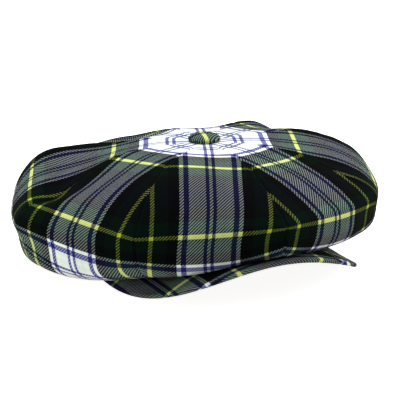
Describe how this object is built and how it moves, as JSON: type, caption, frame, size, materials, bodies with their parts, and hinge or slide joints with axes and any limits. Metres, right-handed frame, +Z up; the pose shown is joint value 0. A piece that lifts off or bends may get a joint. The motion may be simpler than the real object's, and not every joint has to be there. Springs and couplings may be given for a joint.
{
  "type": "newsboy cap",
  "caption": "Full round cloth cap: tapered crown panels meet at a covered button, over a head band and an arched peak; it lies on its rim.",
  "frame": {"origin": "centre of the cap's footprint, on the surface that it lies on", "axes": "+Z up, -Y towards the peak, +X towards the wearer's left"},
  "size_m": [0.29, 0.2772, 0.0968],
  "materials": {
    "crown_cloth": "twill weave, tartan check in black, green, navy, white and yellow",
    "band_cloth": "plain dark twill tape",
    "peak_cloth": "the same twill tartan over a stiff board",
    "button_cloth": "the dark part of the same twill tartan"
  },
  "bodies": {
    "root": {"panel_front_left": "crown_cloth", "panel_front_right": "crown_cloth", "panel_side_front_left": "crown_cloth", "panel_side_front_right": "crown_cloth", "panel_side_back_left": "crown_cloth", "panel_side_back_right": "crown_cloth", "panel_back_left": "crown_cloth", "panel_back_right": "crown_cloth", "head_band": "band_cloth", "peak": "peak_cloth", "button": "button_cloth"}
  },
  "joints": []
}
